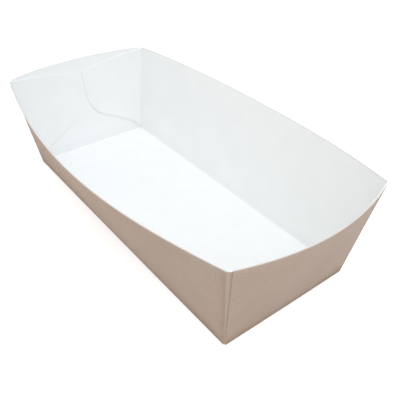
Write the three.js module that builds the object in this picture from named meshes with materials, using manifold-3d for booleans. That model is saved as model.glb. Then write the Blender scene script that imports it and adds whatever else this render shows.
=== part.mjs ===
// Folded paperboard food tray, kraft outside and white inside. Millimetres, +Z up.
// The origin is the middle of the bottom's underside, and X runs along the tray.
//
// The tray is one die-cut blank: a bottom, two long side walls that carry a glue tab at each
// of their ends, and two end walls. The side walls fold up, their tabs turn the corners, and
// the end walls fold up last and are glued on to the outside of the tabs. The corners hold
// the walls steep, so a wall leans out further, and bows, in its middle.
import * as THREE from "three";
import { mergeVertices } from "three/addons/utils/BufferGeometryUtils.js";
import Module from "manifold-3d";

const wasm = await Module();
wasm.setup();

// The board and its folds
const boardThickness = 0.45;
const foldRadius = 0.6; // on the outside of every fold
const glueBed = 0.06; // how deep a glued tab beds into the face of the end wall

// The bottom, over the outside of its folds
const bottomLength = 165;
const bottomWidth = 68.5;

// The rim's corners, and how far they stand out past the bottom
const cornerHeight = 49.8;
const cornerFlareX = 6.8;
const cornerFlareY = 7.7;

// How much further out a rim stands at the middle of its wall than at the corners
const sideBow = 12.0;
const endBow = 7.8;

// The end walls: their top edge is arched, and their cut sides stop short of the corners
const endArch = 1.2;
const endInsetFoot = 0.7;
const endInsetRim = 2.0;

// The glue tabs: the lower cut runs in from the corner, up a slope, and turns up at the tip
const tabGap = 5.0; // between the tips of two tabs that meet on one end wall
const tabTopAtCorner = 0.5; // the tab's top edge below the rim, at the corner and at the tip
const tabTopAtTip = 7.4;
const tabSlopeStart = 4.7; // how far in from the corner the slope, drawn on, starts
const tabSlopeLow = 6.3; // the slope's height at its start and, drawn on, at the tip
const tabSlopeHigh = 19.0;
const tabTurn = 10.5; // how far the turn at the tip reaches along each of its legs

// How finely curves are cut into facets
const sideSteps = 28;
const endSteps = 24;
const foldSteps = 4;
const cutSteps = 12;
const wallRows = 4;
const flangeWidth = 4; // the strip of bottom that is made with each wall
const slopeStep = 1e-5; // for slopes taken from a small difference

const mix = THREE.MathUtils.lerp;

// A wall's outside face, from its straight foot (t = 0) to its bowed rim (t = 1), with s from
// -1 to 1 along it. The board keeps its length, so where the wall leans out it stands lower.
function makeWall(halfFoot, footDistance, flareAlong, flareOut, bow, arch) {
  const cornerLength = Math.hypot(cornerHeight, flareOut);
  return (s, t) => {
    const middle = 1 - s * s;
    const lean = flareOut + bow * middle;
    const length = cornerLength + arch * middle;
    return {
      along: s * (halfFoot + flareAlong * t),
      out: footDistance + lean * t,
      up: Math.sqrt(length * length - lean * lean) * t,
    };
  };
}

const sideForm = makeWall(bottomLength / 2, bottomWidth / 2, cornerFlareX, cornerFlareY, sideBow, 0);
const endForm = makeWall(bottomWidth / 2, bottomLength / 2, cornerFlareY, cornerFlareX, endBow, endArch);
const cornerLength = Math.hypot(cornerHeight, cornerFlareX);

// The tabs lie one board thickness inside the end walls, less the bed of the glue, and the
// side walls are that much shorter too.
const tabNest = boardThickness - glueBed;

function sidePoint(s, t) {
  const p = sideForm(s, t);
  return new THREE.Vector3(p.along - s * tabNest, p.out, p.up);
}

function endPoint(s, t) {
  const p = endForm(s, t);
  return new THREE.Vector3(p.out, p.along, p.up);
}

const moveIn = (point) => point.setX(point.x - tabNest);

// A round fold between two equal legs a and b that meet at corner: a circular arc, as a conic.
function roundCorner(a, corner, b, u) {
  const legA = a.clone().sub(corner);
  const legB = b.clone().sub(corner);
  const weight = Math.sin(legA.angleTo(legB) / 2);
  const wa = (1 - u) * (1 - u);
  const wc = 2 * weight * u * (1 - u);
  const wb = u * u;
  const total = wa + wc + wb;
  return corner.clone().addScaledVector(legA, wa / total).addScaledVector(legB, wb / total);
}

// The line of a wall from the bottom up. r runs from -2 to -1 over the bottom's edge, from -1
// to 0 round the fold at the foot, and from 0 to 1 up to the rim.
function foldedLine(pointAt, inward, r) {
  const foot = pointAt(0);
  const climb = pointAt(1).sub(foot);
  const turn = Math.PI - climb.angleTo(inward);
  const leg = foldRadius * Math.tan(turn / 2);
  const start = leg / climb.length();
  if (r >= 0) return pointAt(mix(start, 1, r));
  const floorEnd = foot.clone().addScaledVector(inward, leg);
  if (r <= -1) return floorEnd.addScaledVector(inward, flangeWidth * (-1 - r));
  return roundCorner(floorEnd, foot, pointAt(start), 1 + r);
}

// An end wall, with e from -1 to 1 between its cut sides.
function endLeafPoint(e, r) {
  const line = (t) => {
    const half = bottomWidth / 2 + cornerFlareY * t;
    const inset = mix(endInsetFoot, endInsetRim, t);
    return endPoint((e * (half - inset)) / half, t);
  };
  return foldedLine(line, new THREE.Vector3(-1, 0, 0), r);
}

// A side wall between its two corner folds, with g from -1 to 1.
function sideWallPoint(g, r) {
  const line = (t) => sidePoint(g * foldStart(bottomLength / 2 + cornerFlareX * t), t);
  return foldedLine(line, new THREE.Vector3(0, -1, 0), r);
}

// The share of a wall's half length at which the fold at its corner starts.
const foldStart = (half) => 1 - foldRadius / half;

// The fold between a side wall and its tab at height t, with u from 0 on the side wall to 1.
function cornerPoint(u, t) {
  const sideEnd = sidePoint(foldStart(bottomLength / 2 + cornerFlareX * t), t);
  const tabEnd = moveIn(endPoint(foldStart(bottomWidth / 2 + cornerFlareY * t), t));
  return roundCorner(sideEnd, sidePoint(1, t), tabEnd, u);
}

function cornerFoldPoint(u, r) {
  const centre = cornerPoint(0, 0);
  centre.y -= foldRadius;
  const inward = centre.sub(cornerPoint(u, 0)).normalize();
  return foldedLine((t) => cornerPoint(u, t), inward, r);
}

// The side wall and the board of its tab. Up to g = 1 a point is on the side wall, and up to 2
// on the corner fold. From there the board lies along the inside of the end wall: at 3 it has
// passed the cut side, and at 4 it is in the middle.
function sideLeafPoint(g, r) {
  if (g <= 1) return sideWallPoint(g, r);
  if (g <= 2) return cornerFoldPoint(g - 1, r);
  if (g <= 3) return cornerFoldPoint(1, r).lerp(moveIn(endLeafPoint(1, r)), g - 2);
  return moveIn(endLeafPoint(4 - g, r));
}

// The unit normal of a leaf, towards the inside of the tray.
function inwardNormal(leaf, g, r) {
  const along = leaf(g + slopeStep, r).sub(leaf(g - slopeStep, r));
  const rising = leaf(g, r + slopeStep).sub(leaf(g, r - slopeStep));
  return along.cross(rising).normalize();
}

function toManifold(positions, triangles) {
  const geometry = new THREE.BufferGeometry();
  geometry.setAttribute("position", new THREE.Float32BufferAttribute(positions, 3));
  geometry.setIndex(triangles);
  const merged = mergeVertices(geometry, 1e-6);
  return new wasm.Manifold(
    new wasm.Mesh({
      numProp: 3,
      vertProperties: merged.attributes.position.array,
      triVerts: new Uint32Array(merged.index.array),
    }),
  );
}

// Gives a leaf its thickness. columns lists, for each line of the grid, its g and its rows;
// a row that a column lacks is null, and a cell is board only if its four corners are there.
function boardSolid(leaf, columns) {
  const positions = [];
  const triangles = [];
  const vertex = new Map();
  const key = (i, j, face) => `${i},${j},${face}`;
  columns.forEach((column, i) =>
    column.rows.forEach((r, j) => {
      if (r === null) return;
      const outside = leaf(column.g, r);
      const inside = outside.clone().addScaledVector(inwardNormal(leaf, column.g, r), boardThickness);
      vertex.set(key(i, j, 0), positions.push(...outside) / 3 - 1);
      vertex.set(key(i, j, 1), positions.push(...inside) / 3 - 1);
    }),
  );
  const quad = (a, b, c, d) => {
    const [p, q, m, n] = [a, b, c, d].map((corner) => vertex.get(key(...corner)));
    triangles.push(p, q, m, p, m, n);
  };
  const cell = (i, j) =>
    [
      [i, j],
      [i + 1, j],
      [i, j + 1],
      [i + 1, j + 1],
    ].every(([a, b]) => vertex.has(key(a, b, 0)));
  columns.forEach((column, i) =>
    column.rows.forEach((r, j) => {
      if (!cell(i, j)) return;
      quad([i, j, 0], [i, j + 1, 0], [i + 1, j + 1, 0], [i + 1, j, 0]);
      quad([i, j, 1], [i + 1, j, 1], [i + 1, j + 1, 1], [i, j + 1, 1]);
      if (!cell(i - 1, j)) quad([i, j, 0], [i, j, 1], [i, j + 1, 1], [i, j + 1, 0]);
      if (!cell(i + 1, j)) quad([i + 1, j, 0], [i + 1, j + 1, 0], [i + 1, j + 1, 1], [i + 1, j, 1]);
      if (!cell(i, j - 1)) quad([i, j, 0], [i + 1, j, 0], [i + 1, j, 1], [i, j, 1]);
      if (!cell(i, j + 1)) quad([i, j + 1, 0], [i, j + 1, 1], [i + 1, j + 1, 1], [i + 1, j + 1, 0]);
    }),
  );
  return toManifold(positions, triangles);
}

const steps = (count) => Array.from({ length: count + 1 }, (_, i) => i / count);
const flangeAndBend = [-2, ...steps(foldSteps).map((u) => u - 1).slice(0, -1)];
const wall = steps(wallRows);
const noBend = flangeAndBend.map(() => null);

// The lattices of half a side wall with its tab, before the tab is cut, and of half an end
// wall. On the end they share their columns, so that the two layers lie together.
const onSide = steps(sideSteps / 2).map((g) => ({ g, rows: [...flangeAndBend, ...wall] }));
const onFold = steps(foldSteps).map((u) => ({
  g: 1 + u,
  rows: flangeAndBend.map((r) => (r >= -1 && u <= 0.5 ? r : null)).concat(wall),
}));
const onTab = steps(endSteps / 2).map((u) => ({ g: 3 + u, rows: [...noBend, ...wall] }));
const onEnd = onTab.map(({ g }) => ({ g, rows: [...flangeAndBend, ...wall] }));

// What the die takes away around a tab, seen along the tray: x is across it and y is up.
function tabWaste() {
  const foot = new THREE.Vector2(bottomWidth / 2 - foldRadius, foldRadius);
  const slopeStart = new THREE.Vector2(foot.x - tabSlopeStart, tabSlopeLow);
  const tip = new THREE.Vector2(tabGap / 2, tabSlopeHigh);
  const slope = tip.clone().sub(slopeStart).normalize();
  const reliefEnd = slopeStart.clone().addScaledVector(slope, tabSlopeStart);
  const turnStart = tip.clone().addScaledVector(slope, -tabTurn);
  const cornerTop = bottomWidth / 2 + cornerFlareY - foldRadius;
  const underFoot = -foldRadius;
  const overRim = cornerHeight + endArch + foldRadius;
  const waste = new THREE.Shape();
  waste.moveTo(foot.x, foot.y);
  waste.quadraticCurveTo(slopeStart.x, slopeStart.y, reliefEnd.x, reliefEnd.y);
  waste.lineTo(turnStart.x, turnStart.y);
  waste.quadraticCurveTo(tip.x, tip.y, tip.x, tip.y + tabTurn);
  waste.lineTo(tip.x, cornerHeight - tabTopAtTip);
  waste.lineTo(cornerTop, cornerHeight - tabTopAtCorner);
  waste.lineTo(cornerTop, overRim);
  waste.lineTo(-tabGap, overRim);
  waste.lineTo(-tabGap, underFoot);
  waste.lineTo(foot.x, underFoot);
  return waste;
}

// The die starts between the end of the side wall's bottom fold and the inside of the tab.
function tabDie() {
  const start = bottomLength / 2 - tabNest - (boardThickness + foldRadius) / 2;
  const depth = cornerFlareX + endBow + 2 * foldRadius;
  const die = new THREE.ExtrudeGeometry(tabWaste(), {
    depth,
    bevelEnabled: false,
    curveSegments: cutSteps,
  });
  const x = new THREE.Vector3(1, 0, 0);
  const y = new THREE.Vector3(0, 1, 0);
  const z = new THREE.Vector3(0, 0, 1);
  die.applyMatrix4(new THREE.Matrix4().makeBasis(y, z, x));
  die.translate(start, 0, 0);
  return toManifold(die.attributes.position.array, indexOf(die));
}

function indexOf(geometry) {
  if (geometry.index) return [...geometry.index.array];
  return [...Array(geometry.attributes.position.count).keys()];
}

function bottomPlate() {
  const overlap = foldRadius + flangeWidth / 2;
  const plate = new THREE.BoxGeometry(
    bottomLength - 2 * overlap,
    bottomWidth - 2 * overlap,
    boardThickness,
  );
  plate.translate(0, 0, boardThickness / 2);
  return toManifold(plate.attributes.position.array, indexOf(plate));
}

// Kraft on the outside and on the cut edges, white on every face that looks into the tray.
function paintSides(geometry) {
  const position = geometry.attributes.position;
  const index = geometry.index.array;
  const corners = [new THREE.Vector3(), new THREE.Vector3(), new THREE.Vector3()];
  const face = new THREE.Triangle(...corners);
  const middle = new THREE.Vector3();
  const normal = new THREE.Vector3();
  const spine = (bottomLength - bottomWidth) / 2;
  const sorted = [[], []];
  for (let i = 0; i < index.length; i += 3) {
    [face.a, face.b, face.c].forEach((corner, n) => corner.fromBufferAttribute(position, index[i + n]));
    face.getMidpoint(middle);
    face.getNormal(normal);
    const heart = new THREE.Vector3(THREE.MathUtils.clamp(middle.x, -spine, spine), 0, cornerHeight);
    const looksIn = normal.dot(heart.sub(middle).normalize()) > 0.2;
    sorted[looksIn ? 1 : 0].push(index[i], index[i + 1], index[i + 2]);
  }
  geometry.setIndex([...sorted[0], ...sorted[1]]);
  geometry.clearGroups();
  geometry.addGroup(0, sorted[0].length, 0);
  geometry.addGroup(sorted[0].length, sorted[1].length, 1);
}

function toGeometry(solid) {
  const mesh = solid.getMesh();
  const geometry = new THREE.BufferGeometry();
  geometry.setAttribute("position", new THREE.BufferAttribute(mesh.vertProperties, mesh.numProp));
  geometry.setIndex([...mesh.triVerts]);
  paintSides(geometry);
  geometry.computeVertexNormals();
  return geometry;
}

// A quarter of the walls is made, and mirrored twice.
const sideQuarter = boardSolid(sideLeafPoint, [...onSide, ...onFold.slice(1), ...onTab]);
const endQuarter = boardSolid((g, r) => endLeafPoint(4 - g, r), onEnd);
const quarter = sideQuarter.subtract(tabDie()).add(endQuarter);
const half = quarter.add(quarter.mirror([1, 0, 0]));
const trayBoard = bottomPlate().add(half).add(half.mirror([0, 1, 0]));

const kraft = new THREE.MeshStandardMaterial({ color: 0xb19c8c, roughness: 0.7, metalness: 0 });
const whiteLining = new THREE.MeshStandardMaterial({ color: 0xf2f5f5, roughness: 0.5, metalness: 0 });

const tray = new THREE.Mesh(toGeometry(trayBoard), [kraft, whiteLining]);
tray.name = "folded_tray";

const foodTray = new THREE.Group();
foodTray.name = "food_tray";
foodTray.add(tray);

export default foodTray;
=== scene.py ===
"""A folded paperboard food tray: kraft outside, white coated inside, with pale cut edges.

The tray is modelled as what it is, one sheet of board. Its outside face is laid out panel by
panel for one quarter, mirrored round, and then given its thickness.
"""

import math

import bpy
from mathutils import Matrix, Vector


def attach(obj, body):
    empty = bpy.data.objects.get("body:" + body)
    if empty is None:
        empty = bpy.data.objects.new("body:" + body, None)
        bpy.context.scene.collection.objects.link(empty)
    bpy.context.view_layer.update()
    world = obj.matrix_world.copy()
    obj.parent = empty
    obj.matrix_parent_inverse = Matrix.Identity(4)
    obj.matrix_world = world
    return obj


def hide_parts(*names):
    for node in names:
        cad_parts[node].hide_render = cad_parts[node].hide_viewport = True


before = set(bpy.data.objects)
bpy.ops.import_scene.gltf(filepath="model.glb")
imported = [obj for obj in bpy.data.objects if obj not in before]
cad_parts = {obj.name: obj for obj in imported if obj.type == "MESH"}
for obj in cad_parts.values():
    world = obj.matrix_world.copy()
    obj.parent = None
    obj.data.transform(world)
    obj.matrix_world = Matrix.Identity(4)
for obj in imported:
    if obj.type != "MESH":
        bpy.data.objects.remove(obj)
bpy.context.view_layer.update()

MM = 0.001

# The board and its folds, in millimetres
BOARD = 0.45
FOLD_RADIUS = 0.6
TAB_NEST = 0.5  # from the outside of an end wall to the outside of the tab behind it

# The bottom, the rim's corners and the bow of the walls
BOTTOM_LENGTH = 165.0
BOTTOM_WIDTH = 68.5
CORNER_HEIGHT = 49.8
CORNER_FLARE_X = 6.8
CORNER_FLARE_Y = 7.7
SIDE_BOW = 12.0
END_BOW = 7.8
END_ARCH = 1.2
END_INSET_FOOT = 0.7
END_INSET_RIM = 2.0

# The glue tabs' outline
TAB_GAP = 5.0
TAB_TOP_AT_CORNER = 0.5
TAB_TOP_AT_TIP = 7.4
TAB_SLOPE_START = 4.7
TAB_SLOPE_LOW = 6.3
TAB_SLOPE_HIGH = 19.0
TAB_TURN = 10.5
KNUCKLE_REACH = 0.5  # the share of the corner fold, from the side wall on, that has a foot

# How fine the mesh is
SIDE_COLUMNS = 44
END_COLUMNS = 26
TAB_COLUMNS = 40
FOLD_COLUMNS = 8
BEND_ROWS = 8
WALL_ROWS = 16
CUT_STEPS = 200  # for each stretch of a tab's cut, before its columns are spaced evenly
SLOPE_STEP = 1e-3  # to both sides of a point, to find which way the board faces there
ROUNDING = 1e-9  # what the sum of a cut's steps may be off by
SAME_PLACE = 4  # points that agree to this many decimals are one

# How far the marks reach, as shares of a wall's height, and of its half length at the corner
FOOT_FADE = 0.13
CORNER_FADE = 0.03
RIM_FADE = 0.06
LIP = 0.015

# How strong the painted shade at folds and cuts is, where that at a wall's foot is 1
CORNER_SHADE = 0.6
CUT_LINE_SHADE = 2.0
UNMARKED = (0.0, 0.0, 0.0)

# The board's materials, in their order on the mesh
OUTSIDE = 0
INSIDE = 1
CUT_EDGE = 2
GLUED_EDGE = 3

# The board's length up a corner fold, and a tab's along its end wall
CORNER_LENGTH = math.hypot(CORNER_HEIGHT, CORNER_FLARE_X)
TAB_REACH = BOTTOM_WIDTH / 2 - FOLD_RADIUS - TAB_GAP / 2


def mix(a, b, u):
    return a + (b - a) * u


def shares(count):
    return [k / count for k in range(count + 1)]


# In the surfaces below, s, g and e run along a wall from -1 to 1, and f along a tab from 0 to 1.
# u runs round a fold from 0 to 1. t runs up a wall from its foot, 0, to its rim, 1. r does so
# too, once it has run from -1 to 0 round the fold at the foot.


def wall_form(half_foot, foot_out, flare_along, flare_out, bow, arch):
    """A wall's outside face. Towards its middle it leans out by the bow, and is longer by the arch."""
    corner = math.hypot(CORNER_HEIGHT, flare_out)

    def at(s, t):
        middle = 1 - s * s
        lean = flare_out + bow * middle
        length = corner + arch * middle
        height = math.sqrt(length * length - lean * lean)
        return s * (half_foot + flare_along * t), foot_out + lean * t, height * t

    return at


side_form = wall_form(
    half_foot=BOTTOM_LENGTH / 2, foot_out=BOTTOM_WIDTH / 2,
    flare_along=CORNER_FLARE_X, flare_out=CORNER_FLARE_Y, bow=SIDE_BOW, arch=0)
end_form = wall_form(
    half_foot=BOTTOM_WIDTH / 2, foot_out=BOTTOM_LENGTH / 2,
    flare_along=CORNER_FLARE_Y, flare_out=CORNER_FLARE_X, bow=END_BOW, arch=END_ARCH)


def half_length(t):
    return BOTTOM_LENGTH / 2 + CORNER_FLARE_X * t


def half_width(t):
    return BOTTOM_WIDTH / 2 + CORNER_FLARE_Y * t


def side_point(s, t):
    """A side wall, short enough for its tabs to lie inside the end walls."""
    along, out, up = side_form(s, t)
    return Vector((along - s * TAB_NEST, out, up))


def end_point(s, t):
    along, out, up = end_form(s, t)
    return Vector((out, along, up))


def nested(point):
    """A point of an end wall, moved in to where the tab behind it lies."""
    return Vector((point.x - TAB_NEST, point.y, point.z))


def round_corner(a, corner, b, u):
    """A round fold between two legs that meet at corner: a circular arc, as a conic."""
    leg_a = a - corner
    leg_b = b - corner
    weight = math.sin(leg_a.angle(leg_b) / 2)
    share_a = (1 - u) * (1 - u)
    share_corner = 2 * weight * u * (1 - u)
    share_b = u * u
    total = share_a + share_corner + share_b
    return corner + leg_a * (share_a / total) + leg_b * (share_b / total)


def fold_leg(point_at, inward):
    """How far the fold at a wall's foot reaches along the bottom, and as a share of the wall."""
    climb = point_at(1) - point_at(0)
    turn = math.pi - climb.angle(inward)
    leg = FOLD_RADIUS * math.tan(turn / 2)
    return leg, leg / climb.length


def folded_line(point_at, inward, r):
    """A line up a wall, with the fold at its foot."""
    leg, start = fold_leg(point_at, inward)
    if r >= 0:
        return point_at(mix(start, 1, r))
    foot = point_at(0)
    return round_corner(foot + inward * leg, foot, point_at(start), 1 + r)


def end_wall_point(e, r):
    """An end wall between its two cut sides."""

    def line(t):
        half = half_width(t)
        inset = mix(END_INSET_FOOT, END_INSET_RIM, t)
        return end_point(e * (half - inset) / half, t)

    return folded_line(line, Vector((-1, 0, 0)), r)


def side_wall_point(g, r):
    """A side wall between its two corner folds."""

    def line(t):
        return side_point(g * (1 - FOLD_RADIUS / half_length(t)), t)

    return folded_line(line, Vector((0, -1, 0)), r)


def corner_point(u, t):
    """The upright fold from a side wall, at u = 0, to its tab, at u = 1."""
    side_end = side_point(1 - FOLD_RADIUS / half_length(t), t)
    tab_end = nested(end_point(1 - FOLD_RADIUS / half_width(t), t))
    return round_corner(side_end, side_point(1, t), tab_end, u)


def corner_fold_point(u, r):
    """The upright fold, with the fold at its foot, which turns in towards the bottom's corner."""
    pole = corner_point(0, 0) - Vector((0, FOLD_RADIUS, 0))
    inward = (pole - corner_point(u, 0)).normalized()
    return folded_line(lambda t: corner_point(u, t), inward, r)


def tab_point(f, t):
    """The board of a tab, before its outline is cut."""
    y = mix(half_width(t) - FOLD_RADIUS, TAB_GAP / 2, f)
    return nested(end_point(y / half_width(t), t))


def quadratic(a, b, c, u):
    """A smooth curve from a to c, drawn towards b."""
    return a * ((1 - u) * (1 - u)) + b * (2 * u * (1 - u)) + c * (u * u)


def tab_cut(count):
    """Points at even steps along a tab's lower cut: the share of the way to its tip, and height."""
    foot = Vector((0, FOLD_RADIUS))
    slope_start = Vector((TAB_SLOPE_START, TAB_SLOPE_LOW))
    tip = Vector((TAB_REACH, TAB_SLOPE_HIGH))
    slope = (tip - slope_start).normalized()
    relief_end = slope_start + slope * TAB_SLOPE_START
    turn_start = tip - slope * TAB_TURN
    turn_end = tip + Vector((0, TAB_TURN))
    steps = shares(CUT_STEPS)
    fine = [quadratic(foot, slope_start, relief_end, u) for u in steps[:-1]]
    fine += [relief_end.lerp(turn_start, u) for u in steps[:-1]]
    fine += [quadratic(turn_start, tip, turn_end, u) for u in steps]
    reach = [0.0]
    for a, b in zip(fine, fine[1:]):
        reach.append(reach[-1] + (b - a).length)
    points = []
    for k in range(count + 1):
        wanted = reach[-1] * k / count
        at = next(i for i, far in enumerate(reach) if far >= wanted - ROUNDING)
        points.append((fine[at].x / TAB_REACH, fine[at].y))
    return points


def tab_top(f):
    """How far up the wall a tab's top edge is, as a share of the wall."""
    return 1 - mix(TAB_TOP_AT_CORNER, TAB_TOP_AT_TIP, f) / CORNER_LENGTH


class Sheet:
    """The outside face of the board: points, each with the direction through the board.

    A point's marks say how much painted shade it takes at folds and cuts, where 1 is a wall's foot,
    how far it lies in the band along the rim and the corner fold, from 0 to 1, which is a painted
    highlight outside and darker inside, and whether it is on the lip of a tab, 0 or 1, which takes a
    painted highlight. The seam is the set of points on the cut sides of the end walls, which are glued
    down.
    """

    def __init__(self):
        self.points = []
        self.inward = []
        self.marks = []
        self.faces = []
        self.seam = set()
        self.index = {}

    def point(self, place, inward, marks=UNMARKED):
        key = tuple(round(c, SAME_PLACE) for c in place)
        if key not in self.index:
            self.index[key] = len(self.points)
            self.points.append(Vector(place))
            self.inward.append(Vector(inward).normalized())
            self.marks.append(marks)
        return self.index[key]

    def column(self, surface, c, rows, crease_shade=lambda r: 0.0, edge_band=0.0, lip=0.0):
        """The points of a surface along one line of its lattice. The painted highlight of a lip is for
        the last.
        """
        line = []
        for r in rows:
            along = surface(c + SLOPE_STEP, r) - surface(c - SLOPE_STEP, r)
            rising = surface(c, r + SLOPE_STEP) - surface(c, r - SLOPE_STEP)
            marks = (crease_shade(r), max(edge_band, 1 - (1 - r) / RIM_FADE), lip * (r == rows[-1]))
            line.append(self.point(surface(c, r), along.cross(rising), marks))
        return line

    def face(self, corners):
        """A face, without the corners that fall together."""
        ring = [c for i, c in enumerate(corners) if c != corners[i - 1]]
        if len(ring) > 2:
            self.faces.append(ring)

    def join(self, lines):
        """Faces between lines of points that lie side by side."""
        for left, right in zip(lines, lines[1:]):
            for j in range(len(left) - 1):
                self.face([left[j], left[j + 1], right[j + 1], right[j]])

    def mirrored(self):
        """The whole sheet, from this quarter of it."""
        whole = Sheet()
        for turn_x, turn_y in ((1, 1), (-1, 1), (-1, -1), (1, -1)):
            flip = Vector((turn_x, turn_y, 1))
            index = [whole.point(p * flip, n * flip, marks)
                     for p, n, marks in zip(self.points, self.inward, self.marks)]
            whole.seam.update(index[i] for i in self.seam)
            for ring in self.faces:
                turned = [index[i] for i in ring]
                whole.faces.append(turned if turn_x == turn_y else turned[::-1])
        return whole


def foot_shade(r):
    """Painted shade: 1 at the top of the fold at a wall's foot, fading over the fold and up the wall."""
    return 1 + r if r < 0 else max(0.0, 1 - r / FOOT_FADE)


def side_shade(g, r):
    """The painted shade at a side wall's foot, or that at its corner fold where it is stronger."""
    return max(foot_shade(r), CORNER_SHADE * (1 - (1 - g) / CORNER_FADE))


def cut_line_shade(edge):
    """Painted shade beside a cut, up to a row and no further."""
    return lambda r: CUT_LINE_SHADE * (r <= edge)


# The rows of points round the fold at a wall's foot, and those from there to the rim
BEND = [u - 1 for u in shares(BEND_ROWS)][:-1]
WALL = [0, LIP, 2 * LIP] + shares(WALL_ROWS)[1:-1] + [1 - LIP, 1]
STRAIGHT_UP = Vector((0, 0, 1))


def lay_out_side(sheet):
    """Half a side wall, from the middle to the corner fold."""
    return [sheet.column(side_wall_point, g, BEND + WALL, lambda r, g=g: side_shade(g, r))
            for g in shares(SIDE_COLUMNS)]


def lay_out_end(sheet):
    """Half an end wall, from its cut side to the middle."""
    lines = [sheet.column(lambda c, r: end_wall_point(1 - c, r), c, BEND + WALL, foot_shade)
             for c in shares(END_COLUMNS)]
    sheet.seam.update(lines[0])
    return lines


def lay_out_fold(sheet):
    """The upright fold at the corner. By the tab its top dips, and it takes a painted highlight."""

    def surface(u, r):
        return corner_fold_point(u, r * (1 - TAB_TOP_AT_CORNER * u * u / CORNER_LENGTH))

    def column(u):
        # Painted shade towards the side wall, and the band of painted highlight towards the tab.
        return sheet.column(surface, u, WALL, lambda r: CORNER_SHADE * (1 - u), edge_band=u * u)

    return [column(u) for u in shares(FOLD_COLUMNS)[1:]]


def lay_out_tab(sheet):
    """A tab, from the corner fold to its tip."""
    lines = []
    for f, cut in tab_cut(TAB_COLUMNS)[1:]:
        low = cut / CORNER_LENGTH
        rows = [mix(low, tab_top(f), u) for u in WALL]
        lines.append(sheet.column(tab_point, f, rows, cut_line_shade(rows[1]), lip=1.0))
    return lines


def lay_out_knuckle(sheet, pole):
    """The rounded foot of the corner fold, as far round as the board is cut."""
    centre = sheet.points[pole]

    def surface(u, r):
        inward = (centre - corner_point(u, 0)).normalized()
        start = fold_leg(lambda t: corner_point(u, t), inward)[1]
        return round_corner(centre, corner_point(u, 0), corner_point(u, start), 1 + r)

    # The rounded foot takes the full painted shade of a fold.
    return [[pole] + sheet.column(surface, u, BEND[1:] + [0.0], lambda r: 1.0)
            for u in shares(FOLD_COLUMNS) if u <= KNUCKLE_REACH]


def tray_sheet():
    """A quarter of the tray, panel by panel, mirrored to the whole of it."""
    sheet = Sheet()
    side = lay_out_side(sheet)
    end = lay_out_end(sheet)
    pole = side[-1][0]
    for line in side + end:
        sheet.inward[line[0]] = STRAIGHT_UP
    sheet.join(side)
    sheet.join(end)
    sheet.join([side[-1][len(BEND):]] + lay_out_fold(sheet) + lay_out_tab(sheet))
    sheet.join(lay_out_knuckle(sheet, pole))
    middle = sheet.point(Vector((0, 0, 0)), STRAIGHT_UP)
    sheet.face([middle] + [line[0] for line in side] + [line[0] for line in end])
    return sheet.mirrored()


def free_edges(faces):
    """The edges of the board: those that only one face of the sheet has, in its direction."""
    seen = set()
    for ring in faces:
        for i, corner in enumerate(ring):
            seen.add((ring[i - 1], corner))
    return [edge for edge in seen if (edge[1], edge[0]) not in seen]


def board_faces(sheet):
    """The outside, the inside turned over, and a strip of cut board along every free edge."""
    count = len(sheet.points)
    outside = [list(ring) for ring in sheet.faces]
    inside = [[i + count for i in reversed(ring)] for ring in sheet.faces]
    cuts = [[b, a, a + count, b + count] for a, b in sorted(free_edges(sheet.faces))]
    return outside + inside + cuts


def dress_faces(mesh, sheet):
    """Each face's material, and the normals of the true curves at its corners."""
    count = len(sheet.points)
    normals = []
    for face in mesh.polygons:
        side = min(face.index // len(sheet.faces), CUT_EDGE)
        if side == CUT_EDGE and all(i % count in sheet.seam for i in face.vertices):
            side = GLUED_EDGE
        face.material_index = side
        face.use_smooth = True
        for i in face.vertices:
            outward = -sheet.inward[i] if i < count else sheet.inward[i - count]
            normals.append(outward if side in (OUTSIDE, INSIDE) else face.normal)
    mesh.normals_split_custom_set([tuple(n) for n in normals])


def add_marks(mesh, sheet):
    """The sheet's marks, which are the same on its outside and its inside."""
    for mark, values in zip(("crease_shade", "edge_band", "lip"), zip(*sheet.marks)):
        attribute = mesh.attributes.new(mark, "FLOAT", "POINT")
        attribute.data.foreach_set("value", values + values)


def thickened(sheet, name):
    """A mesh of the sheet with the board's thickness."""
    inside = [p + n * BOARD for p, n in zip(sheet.points, sheet.inward)]
    mesh = bpy.data.meshes.new(name)
    mesh.from_pydata([p * MM for p in sheet.points + inside], [], board_faces(sheet))
    dress_faces(mesh, sheet)
    add_marks(mesh, sheet)
    return mesh


# The middle of a noise, and the numbers of the colour sockets where two colours are mixed
NOISE_MIDDLE = 0.5
MIX_FIRST = 6
MIX_SECOND = 7
MIX_RESULT = 2


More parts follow.
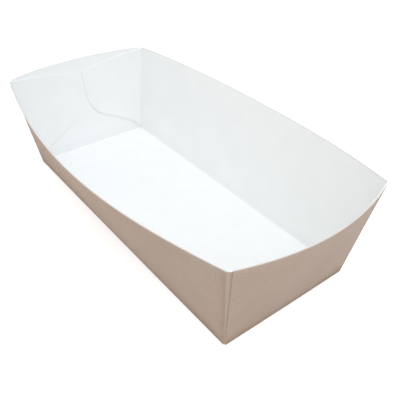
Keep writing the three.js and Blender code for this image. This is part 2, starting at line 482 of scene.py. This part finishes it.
class Nodes:
    """Short calls that add nodes to a material or to the sky, and hand back their outputs."""

    def __init__(self, owner):
        owner.use_nodes = True
        self.tree = owner.node_tree

    def new(self, kind):
        return self.tree.nodes.new(kind)

    def feed(self, node, values):
        """Gives a node's sockets the outputs of other nodes, or else plain numbers and colours."""
        for socket, value in values.items():
            if isinstance(value, bpy.types.NodeSocket):
                self.tree.links.new(value, node.inputs[socket])
            else:
                node.inputs[socket].default_value = value
        return node

    def maths(self, operation, *values):
        node = self.new("ShaderNodeMath")
        node.operation = operation
        return self.feed(node, dict(enumerate(values))).outputs["Value"]

    def noise(self, scale, detail, distortion=0.0, stretch=None):
        place = self.new("ShaderNodeTexCoord").outputs["Object"]
        if stretch:
            mapping = self.feed(self.new("ShaderNodeMapping"), {"Scale": stretch, "Vector": place})
            place = mapping.outputs["Vector"]
        values = {"Scale": scale, "Detail": detail, "Distortion": distortion, "Vector": place}
        return self.feed(self.new("ShaderNodeTexNoise"), values).outputs["Fac"]

    def ramp(self, value, low=0.0, high=1.0, at_low=0.0, at_high=1.0):
        """A value that goes from at_low to at_high while the given one goes from low to high."""
        values = {"Value": value, "From Min": low, "From Max": high, "To Min": at_low, "To Max": at_high}
        return self.feed(self.new("ShaderNodeMapRange"), values).outputs["Result"]

    def patches(self, scale, detail, low, high, at_low=0.0, at_high=1.0):
        """A noise that goes from at_low to at_high while it would go from low to high."""
        return self.ramp(self.noise(scale, detail), low, high, at_low, at_high)

    def threads(self, value, width):
        """1 along the thin lines where a noise crosses its middle, and 0 away from them."""
        off_middle = self.maths("SUBTRACT", value, NOISE_MIDDLE)
        return self.ramp(self.maths("ABSOLUTE", off_middle), high=width, at_low=1.0, at_high=0.0)

    def tint(self, colour, share, towards):
        """A colour, mixed towards another by a value from 0 to 1."""
        node = self.new("ShaderNodeMix")
        node.data_type = "RGBA"
        self.feed(node, {"Factor": share, MIX_FIRST: colour, MIX_SECOND: towards})
        return node.outputs[MIX_RESULT]

    def attribute(self, name):
        node = self.new("ShaderNodeAttribute")
        node.attribute_name = name
        return node.outputs["Fac"]

    def mark(self, name, strength, low=0.0, high=1.0):
        """One of the sheet's marks, from where it starts to show to where it shows most."""
        return self.ramp(self.attribute(name), low, high, at_high=strength)

    def facing_up(self):
        normal = self.new("ShaderNodeNewGeometry").outputs["Normal"]
        return self.feed(self.new("ShaderNodeSeparateXYZ"), {"Vector": normal}).outputs["Z"]

    def bump(self, height, depth, strength, under=None):
        """A normal for a height that is depth metres high, laid on the one under it, if any."""
        values = {"Distance": depth, "Strength": strength, "Height": height}
        node = self.feed(self.new("ShaderNodeBump"), values)
        if under:
            self.feed(node, {"Normal": under})
        return node.outputs["Normal"]

    def along(self, direction):
        """How far the way that a ray goes agrees with a direction."""
        node = self.new("ShaderNodeVectorMath")
        node.operation = "DOT_PRODUCT"
        going = self.new("ShaderNodeTexCoord").outputs["Generated"]
        return self.feed(node, {0: going, 1: direction}).outputs["Value"]

    def seen_white(self):
        """1 for the rays that should find a white backdrop: camera, mirrored and through glass."""
        rays = self.new("ShaderNodeLightPath").outputs
        seen = rays["Is Camera Ray"]
        for kind in ("Is Glossy Ray", "Is Transmission Ray"):
            seen = self.maths("MAXIMUM", seen, rays[kind])
        return seen

    def finish(self, colour, roughness, normal, shine):
        """Hands a board's looks to its shader. Shine is how strongly it mirrors."""
        self.feed(self.tree.nodes["Principled BSDF"], {
            "Base Color": colour,
            "Roughness": roughness,
            "Normal": normal,
            "Specular IOR Level": shine,
        })


def from_screen(red, green, blue):
    """A colour as a screen shows it, in the linear values that a shader takes.

    The numbers in it are those of the standard curve of screens.
    """
    def linear(value):
        share = value / 255
        return share / 12.92 if share <= 0.04045 else ((share + 0.055) / 1.055) ** 2.4

    return (*(linear(v) for v in (red, green, blue)), OPAQUE)


OPAQUE = 1.0
KRAFT = from_screen(193, 173, 157)
# The kraft's darker tone, for its clouds and fibres, and for the painted shade at folds and cuts.
KRAFT_DARK = from_screen(160, 136, 116)
# The kraft's lighter tone, for its grain and fibres, and for the painted highlight along the rim and the
# corner fold.
KRAFT_LIGHT = from_screen(209, 193, 180)
WHITE = from_screen(243, 245, 244)
# The lining's darker tone, for its clouds and specks, and for the painted shade at folds and cuts.
WHITE_SHADE = from_screen(234, 236, 235)
# The lining's darker tone along the rim.
RIM_SHADE = from_screen(222, 221, 219)
# A painted highlight on the tabs' top edges and on the lining just below them.
TAB_LIP_HIGHLIGHT = from_screen(252, 253, 254)
# Cut edges: darker where they face up, as painted shade, and lighter where they face sideways, as
# painted light.
CUT_TOP = from_screen(227, 222, 217)
CUT_SIDE = from_screen(246, 244, 241)
CUT_SHADE = from_screen(212, 204, 196)
# The seam's cut edges: dark brown, as painted shade of the gap where the end wall lies on its tab.
SEAM_SHADE = from_screen(212, 193, 175)
SEAM_SHADE_LAYERS = from_screen(194, 174, 157)
PLAIN_WHITE = (1.0, 1.0, 1.0, OPAQUE)

# The fibres that lie along the tray, across it and up its walls: scale, stretch and colour
FIBRES = (
    (1000, (0.16, 1.0, 1.0), KRAFT_DARK),
    (1150, (1.0, 0.16, 1.0), KRAFT_LIGHT),
    (1300, (1.0, 1.0, 0.2), KRAFT_DARK),
)


def kraft_material():
    """Unbleached board: cloudy, with short fibres pressed in three ways, and a dull face."""
    material = bpy.data.materials.new("kraft_outside")
    nodes = Nodes(material)
    clouds = nodes.patches(scale=55, detail=3, low=0.3, high=0.7, at_high=0.22)
    colour = nodes.tint(KRAFT, clouds, KRAFT_DARK)
    grain = nodes.patches(scale=1400, detail=4, low=0.35, high=0.7, at_high=0.22)
    colour = nodes.tint(colour, grain, KRAFT_LIGHT)
    fibres = []
    for scale, stretch, towards in FIBRES:
        lines = nodes.noise(scale, detail=1, distortion=0.3, stretch=stretch)
        thread = nodes.threads(lines, width=0.03)
        colour = nodes.tint(colour, nodes.ramp(thread, at_high=0.25), towards)
        fibres.append(thread)
    # Painted shade at the walls' feet, at the corner folds and beside the tabs' cuts.
    colour = nodes.tint(colour, nodes.mark("crease_shade", strength=0.65), KRAFT_DARK)
    # A painted highlight along the rim and on the corner fold towards the tab.
    colour = nodes.tint(colour, nodes.mark("edge_band", strength=0.3), KRAFT_LIGHT)
    roughness = nodes.patches(scale=700, detail=3, low=0.3, high=0.7, at_low=0.62, at_high=0.76)
    normal = nodes.bump(nodes.noise(scale=2200, detail=3), depth=0.00002, strength=0.35)
    for thread in fibres:
        normal = nodes.bump(thread, depth=0.00001, strength=0.2, under=normal)
    nodes.finish(colour, roughness, normal, shine=0.15)
    return material


def lining_material():
    """The coated white face: smooth, a little glossier, over board that is not quite even."""
    material = bpy.data.materials.new("white_inside")
    nodes = Nodes(material)
    clouds = nodes.patches(scale=80, detail=3, low=0.35, high=0.7, at_high=0.25)
    colour = nodes.tint(WHITE, clouds, WHITE_SHADE)
    specks = nodes.patches(scale=1500, detail=3, low=0.6, high=0.75, at_high=0.25)
    colour = nodes.tint(colour, specks, WHITE_SHADE)
    # Painted shade at the folds, stronger beside the tabs' cuts.
    colour = nodes.tint(colour, nodes.mark("crease_shade", strength=0.7, high=CUT_LINE_SHADE), WHITE_SHADE)
    # Darker along the rim.
    colour = nodes.tint(colour, nodes.mark("edge_band", strength=0.4, low=0.7), RIM_SHADE)
    # A painted highlight along the tabs' tops.
    colour = nodes.tint(colour, nodes.attribute("lip"), TAB_LIP_HIGHLIGHT)
    roughness = nodes.patches(scale=500, detail=3, low=0.3, high=0.7, at_low=0.42, at_high=0.54)
    normal = nodes.bump(nodes.noise(scale=900, detail=4), depth=0.00002, strength=0.2)
    nodes.finish(colour, roughness, normal, shine=0.3)
    return material


def cut_material(name, side, top, shade):
    """A die-cut edge: bare pulp in uneven layers, painted shade where it faces up, painted highlight on
    the tabs.
    """
    material = bpy.data.materials.new(name)
    nodes = Nodes(material)
    # Painted light and shade by which way the edge faces.
    colour = nodes.tint(side, nodes.ramp(nodes.facing_up(), low=0.5, high=0.8), top)
    layers = nodes.patches(scale=5000, detail=2, low=0.35, high=0.65, at_high=0.3)
    colour = nodes.tint(colour, layers, shade)
    # A painted highlight on the tabs' top edges.
    colour = nodes.tint(colour, nodes.attribute("lip"), TAB_LIP_HIGHLIGHT)
    roughness = nodes.patches(scale=2500, detail=2, low=0.3, high=0.7, at_low=0.8, at_high=0.92)
    normal = nodes.bump(nodes.noise(scale=6000, detail=3), depth=0.00004, strength=0.5)
    nodes.finish(colour, roughness, normal, shine=0.2)
    return material


def make_tray():
    """The dressed tray, in place of its solid. Its materials are in the order of their numbers."""
    mesh = thickened(tray_sheet(), "tray_board")
    mesh.materials.append(kraft_material())
    mesh.materials.append(lining_material())
    mesh.materials.append(cut_material("cut_edge", CUT_SIDE, CUT_TOP, CUT_SHADE))
    # The seam's cut edges, in painted shade.
    mesh.materials.append(cut_material("seam_shaded_edge", SEAM_SHADE, SEAM_SHADE, SEAM_SHADE_LAYERS))
    tray = bpy.data.objects.new("tray_board", mesh)
    bpy.context.collection.objects.link(tray)
    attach(tray, "root")
    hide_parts("folded_tray")


# The photograph's camera, in millimetres and degrees
CAMERA_EYE = Vector((176.1, -124.0, 167.9))
CAMERA_AIM = Vector((19.3, -2.8, 20.0))
CAMERA_ROLL = 0.67
CAMERA_LENS = 47.3
CAMERA_SENSOR = 36
CAMERA_NEAREST = 10
CAMERA_SHIFT = (0.0234, -0.0056)


def make_camera():
    data = bpy.data.cameras.new("camera")
    data.lens = CAMERA_LENS
    data.sensor_width = CAMERA_SENSOR
    data.shift_x, data.shift_y = CAMERA_SHIFT
    data.clip_start = CAMERA_NEAREST * MM
    camera = bpy.data.objects.new("camera", data)
    bpy.context.collection.objects.link(camera)
    facing = (CAMERA_AIM - CAMERA_EYE).to_track_quat("-Z", "Y").to_matrix().to_4x4()
    roll = Matrix.Rotation(math.radians(CAMERA_ROLL), 4, "Z")
    camera.matrix_world = Matrix.Translation(CAMERA_EYE * MM) @ facing @ roll
    bpy.context.scene.camera = camera


# The studio, in metres and watts: a lamp is its place, its power and its colour
FLOOR_SIZE = 6.0
FLOOR_COLOUR = (0.8, 0.8, 0.8, OPAQUE)
FLOOR_ROUGHNESS = 0.9
FLOOR_SHINE = 0.0
FLOOR_GLOW = 0.58
LAMP_SIZE = 0.8
TOP_LAMP = (Vector((0.08, -0.18, 0.88)), 2.6, (0.94, 1.01, 1.13))
FRONT_LAMP = (Vector((0.6, 0.0, 0.75)), 1.75, (1.0, 1.0, 1.0))
SKY_STRENGTH = 0.62
SKY_WARM = (1.2, 1.14, 1.06, OPAQUE)
SKY_COOL = (0.98, 1.0, 1.05, OPAQUE)
SKY_COOL_WAY = (0.5, 0.5, 0.0)
SKY_MIDDLE = 0.5  # the share of the cool light straight overhead
BACKDROP_STRENGTH = 1.0


def make_floor():
    """The ground, which keeps the tray's shadow, and glows a little where it is looked at."""
    half = FLOOR_SIZE / 2
    corners = [(-half, -half, 0), (half, -half, 0), (half, half, 0), (-half, half, 0)]
    mesh = bpy.data.meshes.new("floor")
    mesh.from_pydata(corners, [], [(0, 1, 2, 3)])
    floor = bpy.data.objects.new("floor", mesh)
    bpy.context.collection.objects.link(floor)
    material = bpy.data.materials.new("floor")
    nodes = Nodes(material)
    nodes.feed(nodes.tree.nodes["Principled BSDF"], {
        "Base Color": FLOOR_COLOUR,
        "Roughness": FLOOR_ROUGHNESS,
        "Specular IOR Level": FLOOR_SHINE,
        "Emission Color": PLAIN_WHITE,
        "Emission Strength": nodes.maths("MULTIPLY", nodes.seen_white(), FLOOR_GLOW),
    })
    mesh.materials.append(material)


def make_sky():
    """Soft light, warm from the side of -x and -y and cool from the side of +x and +y.

    The rays that should find a white backdrop do.
    """
    world = bpy.data.worlds.new("studio")
    bpy.context.scene.world = world
    nodes = Nodes(world)
    coolness = nodes.maths("ADD", nodes.along(SKY_COOL_WAY), SKY_MIDDLE)
    light = nodes.tint(SKY_WARM, coolness, SKY_COOL)
    seen = nodes.seen_white()
    nodes.feed(nodes.tree.nodes["Background"], {
        "Color": nodes.tint(light, seen, PLAIN_WHITE),
        "Strength": nodes.ramp(seen, at_low=SKY_STRENGTH, at_high=BACKDROP_STRENGTH),
    })


def make_lamp(name, place, power, colour):
    data = bpy.data.lights.new(name, "AREA")
    data.shape = "SQUARE"
    data.size = LAMP_SIZE
    data.energy = power
    data.color = colour
    lamp = bpy.data.objects.new(name, data)
    lamp.location = place
    lamp.rotation_euler = (-place).to_track_quat("-Z", "Y").to_euler()
    bpy.context.collection.objects.link(lamp)


make_camera()
make_tray()
make_floor()
make_sky()
make_lamp("top_lamp", *TOP_LAMP)
make_lamp("front_lamp", *FRONT_LAMP)

bpy.context.scene.view_settings.view_transform = "Standard"
